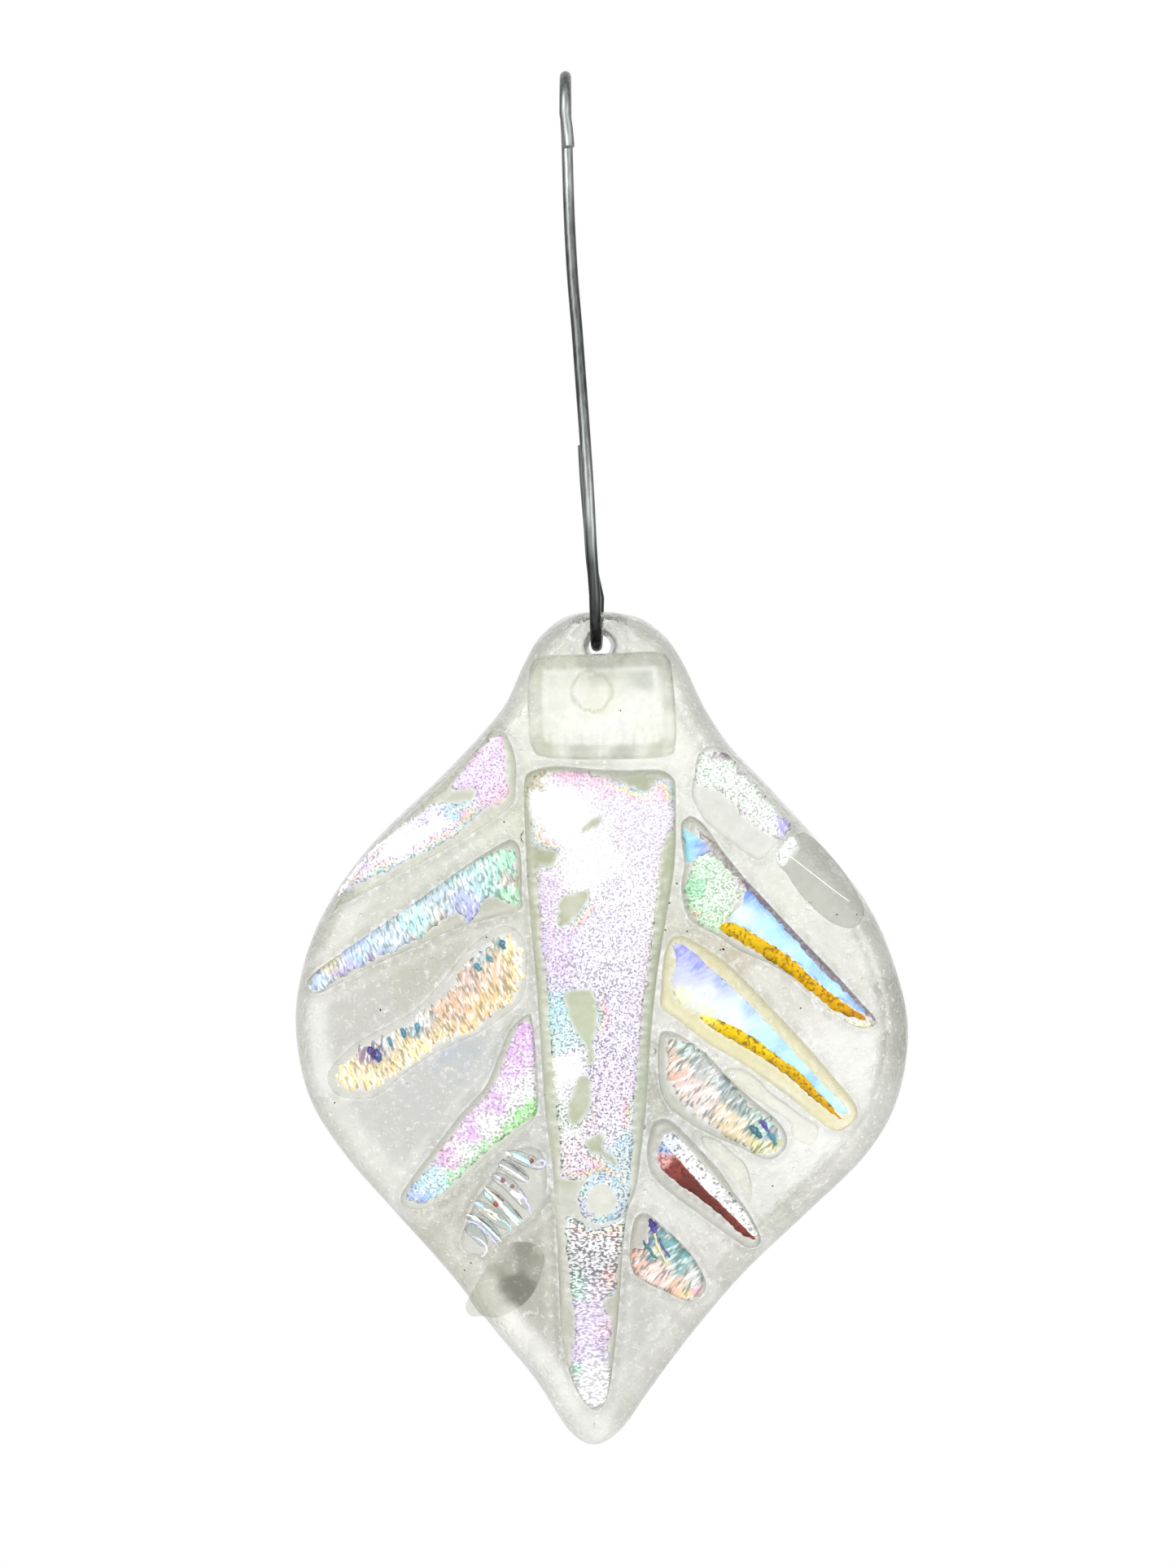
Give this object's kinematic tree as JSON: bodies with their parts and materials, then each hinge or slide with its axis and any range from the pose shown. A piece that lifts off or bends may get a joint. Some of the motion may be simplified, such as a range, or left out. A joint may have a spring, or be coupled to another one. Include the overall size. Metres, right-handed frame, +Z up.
{
  "type": "hanging glass ornament",
  "caption": "Leaf-shaped fused glass ornament with a long icicle-like spike and coloured glass shards as veins, hanging by a drilled neck on an S-shaped wire hook.",
  "frame": {"origin": "the inner top of the hook's upper crook, where the twig or rail that holds the ornament bears", "axes": "+Z up along the hanging height, +Y from the decorated front to the flat back, +X to the viewer's right"},
  "size_m": [0.0594, 0.0127, 0.133],
  "materials": {
    "wire_steel": "dull drawn steel wire",
    "clear_glass": "fire-polished clear, slightly pebbled",
    "tile_glass": "fire-polished clear",
    "spike_film": "white to lilac iridescent film under clear glass",
    "lilac_film": "lilac and white iridescent film",
    "teal_film": "teal to pink iridescent film",
    "gold_film": "crinkled gold iridescent film",
    "green_film": "pink, white and green iridescent film",
    "ribbed_film": "ribbed clear glass with blue and white film",
    "frost_film": "frosty white and green film",
    "shard_glass": "clear with white specks",
    "sky_film": "sky-blue and gold iridescent film",
    "yellow_film": "blue to yellow iridescent film",
    "rose_film": "peach and gold speckled film",
    "copper_film": "silver and copper mirror film",
    "oval_film": "teal and peach iridescent film",
    "nugget_glass": "clear, bubbled"
  },
  "bodies": {
    "hook": {"wire_hook": "wire_steel"},
    "leaf": {"glass_leaf": "clear_glass", "neck_tile": "tile_glass", "centre_spike": "spike_film", "left_shard_lilac": "lilac_film", "left_shard_teal": "teal_film", "left_shard_gold": "gold_film", "left_shard_green": "green_film", "left_shard_ribbed": "ribbed_film", "right_shard_frost": "frost_film", "right_shard_clear": "shard_glass", "right_shard_sky": "sky_film", "right_shard_yellow": "yellow_film", "right_shard_rose": "rose_film", "right_shard_copper": "copper_film", "right_shard_oval": "oval_film", "clear_nugget": "nugget_glass"}
  },
  "joints": [
    {"name": "leaf_swing", "type": "hinge", "parent": "hook", "child": "leaf", "pos_m": [0.00332, 0, -0.0545], "axis": [0, 1, 0], "range_deg": [-80, 80]}
  ]
}
